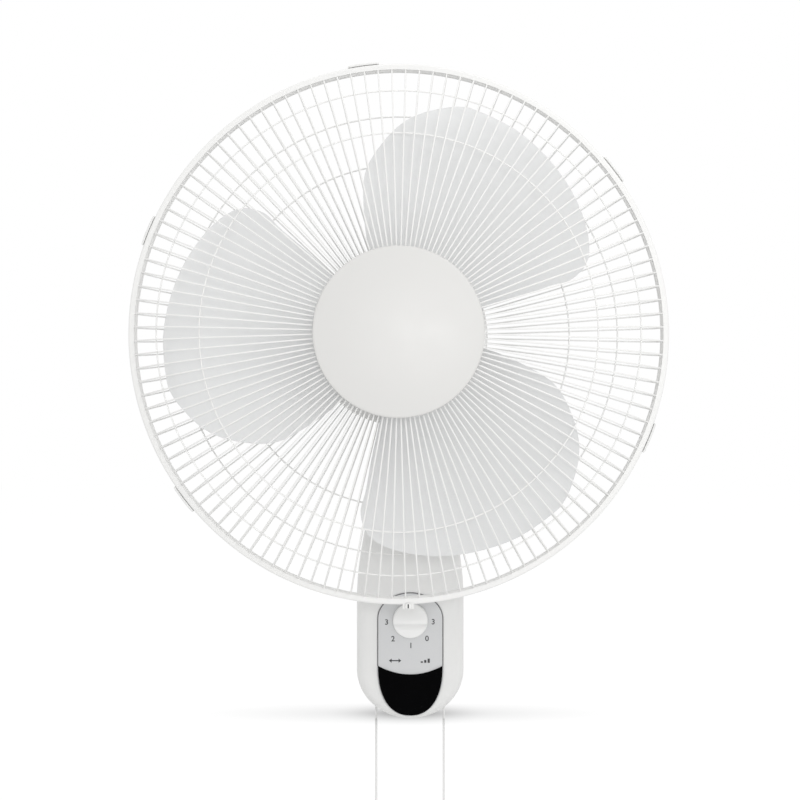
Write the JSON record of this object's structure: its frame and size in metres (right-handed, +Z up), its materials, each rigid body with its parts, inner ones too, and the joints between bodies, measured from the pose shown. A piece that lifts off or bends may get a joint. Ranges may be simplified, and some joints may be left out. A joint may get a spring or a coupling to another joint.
{
  "type": "wall fan",
  "caption": "Wall mounted swinging fan with wire guard, three-leaf blade, round centre cap, bottle-shaped wall unit with dial and pull cords",
  "frame": {"origin": "middle of the wall bracket's back face, on the wall plane", "axes": "+Z up, +Y into the wall, the fan blows along -Y"},
  "size_m": [0.435, 0.2642, 0.6557],
  "materials": {
    "steel": "zinc plated pressed steel",
    "housing": "moulded white plastic, satin gloss",
    "enamel": "white baked enamel on steel wire",
    "blade": "moulded translucent white-grey plastic",
    "panel": "silver grey satin foil panel",
    "window": "black high gloss window",
    "switch": "grey moulded plastic",
    "black": "black moulded plastic",
    "cast": "die cast, as cast",
    "brass": "sintered bronze bush",
    "copper": "varnished copper winding",
    "laminations": "stacked electrical steel sheet",
    "cord": "white braided pull cord"
  },
  "bodies": {
    "wall_unit": {"wall_bracket": "steel", "rear_housing": "housing", "front_housing": "housing", "control_panel": "panel", "window_lens": "window", "speed_switch": "switch", "swing_switch": "switch", "swing_cord_bush": "housing", "speed_cord_bush": "housing", "cable_gland": "black", "run_capacitor": "black", "terminal_block": "switch", "housing_screw_1": "steel", "housing_screw_2": "steel", "housing_screw_3": "steel", "tilt_bolt": "steel", "tilt_nut": "steel"},
    "neck": {"tilt_neck": "housing", "swing_bushing": "switch"},
    "head": {"motor_mount": "cast", "motor_front_shield": "cast", "motor_rear_shield": "cast", "stator_core": "laminations", "front_winding": "copper", "rear_winding": "copper", "front_bearing": "brass", "rear_bearing": "brass", "swing_motor": "cast", "motor_rear_cover": "housing", "motor_front_cover": "housing", "cover_screw": "steel", "rear_guard": "enamel", "rear_guard_ring_inner": "enamel", "rear_guard_ring_outer": "enamel", "guard_nut": "housing", "front_guard": "enamel", "front_guard_ring_inner": "enamel", "front_guard_ring_outer": "enamel", "badge_cap": "housing", "guard_hoop": "enamel", "hoop_lock_screw": "steel", "hoop_lock_nut": "steel"},
    "rotor": {"rotor_core": "laminations", "motor_shaft": "steel", "fan_blade": "blade", "drive_pin": "steel", "spinner_nut": "housing"},
    "crank": {"swing_crank": "switch"},
    "link": {"swing_link": "steel"},
    "knob": {"speed_knob": "housing"},
    "swing_pull": {"swing_pull_cord": "cord", "swing_pull_handle": "housing"},
    "speed_pull": {"speed_pull_cord": "cord", "speed_pull_handle": "housing"},
    "clip_1": {"guard_clip_1": "housing"},
    "clip_2": {"guard_clip_2": "housing"},
    "clip_3": {"guard_clip_3": "housing"},
    "clip_4": {"guard_clip_4": "housing"},
    "clip_5": {"guard_clip_5": "housing"}
  },
  "joints": [
    {"name": "head_tilt", "type": "hinge", "parent": "wall_unit", "child": "neck", "pos_m": [0, -0.068, 0.146], "axis": [1, 0, 0], "range_deg": [0, 25]},
    {"name": "head_swing", "type": "hinge", "parent": "neck", "child": "head", "pos_m": [0, -0.08, 0.192], "axis": [0, 0, 1], "range_deg": [-45, 45]},
    {"name": "blade_spin", "type": "hinge", "parent": "head", "child": "rotor", "pos_m": [-0.01, -0.2, 0.24], "axis": [0, 1, 0], "continuous": true},
    {"name": "crank_turn", "type": "hinge", "parent": "head", "child": "crank", "pos_m": [-0.008, -0.053, 0.198], "axis": [0, 0, 1], "range_deg": [-74, 74]},
    {"name": "link_turn", "type": "hinge", "parent": "crank", "child": "link", "pos_m": [-0.01931, -0.053, 0.195], "axis": [0, 0, 1], "range_deg": [-74, 74]},
    {"name": "knob_turn", "type": "hinge", "parent": "wall_unit", "child": "knob", "pos_m": [0, -0.095, -0.0057], "axis": [0, 1, 0], "continuous": true},
    {"name": "swing_cord_pull", "type": "slide", "parent": "wall_unit", "child": "swing_pull", "axis": [0, 0, -1], "range_m": [0, 0.02], "stiffness_N_per_m": 150},
    {"name": "speed_cord_pull", "type": "slide", "parent": "wall_unit", "child": "speed_pull", "axis": [0, 0, -1], "range_m": [0, 0.02], "stiffness_N_per_m": 150},
    {"name": "clip_1_open", "type": "hinge", "parent": "head", "child": "clip_1", "pos_m": [0.16351, -0.211, 0.37314], "axis": [0.6088, 0, -0.7934], "range_deg": [0, 70]},
    {"name": "clip_2_open", "type": "hinge", "parent": "head", "child": "clip_2", "pos_m": [-0.03855, -0.211, 0.45683], "axis": [0.9914, 0, 0.1305], "range_deg": [0, 70]},
    {"name": "clip_3_open", "type": "hinge", "parent": "head", "child": "clip_3", "pos_m": [-0.21205, -0.211, 0.32369], "axis": [0.3827, 0, 0.9239], "range_deg": [0, 70]},
    {"name": "clip_4_open", "type": "hinge", "parent": "head", "child": "clip_4", "pos_m": [-0.18351, -0.211, 0.10686], "axis": [-0.6088, 0, 0.7934], "range_deg": [0, 70]},
    {"name": "clip_5_open", "type": "hinge", "parent": "head", "child": "clip_5", "pos_m": [0.19205, -0.211, 0.15631], "axis": [-0.3827, 0, -0.9239], "range_deg": [0, 70]}
  ],
  "couplings": [
    {"joint": "crank_turn", "follows": "head_swing", "ratio": -1.6},
    {"joint": "link_turn", "follows": "head_swing", "ratio": 1.6}
  ]
}
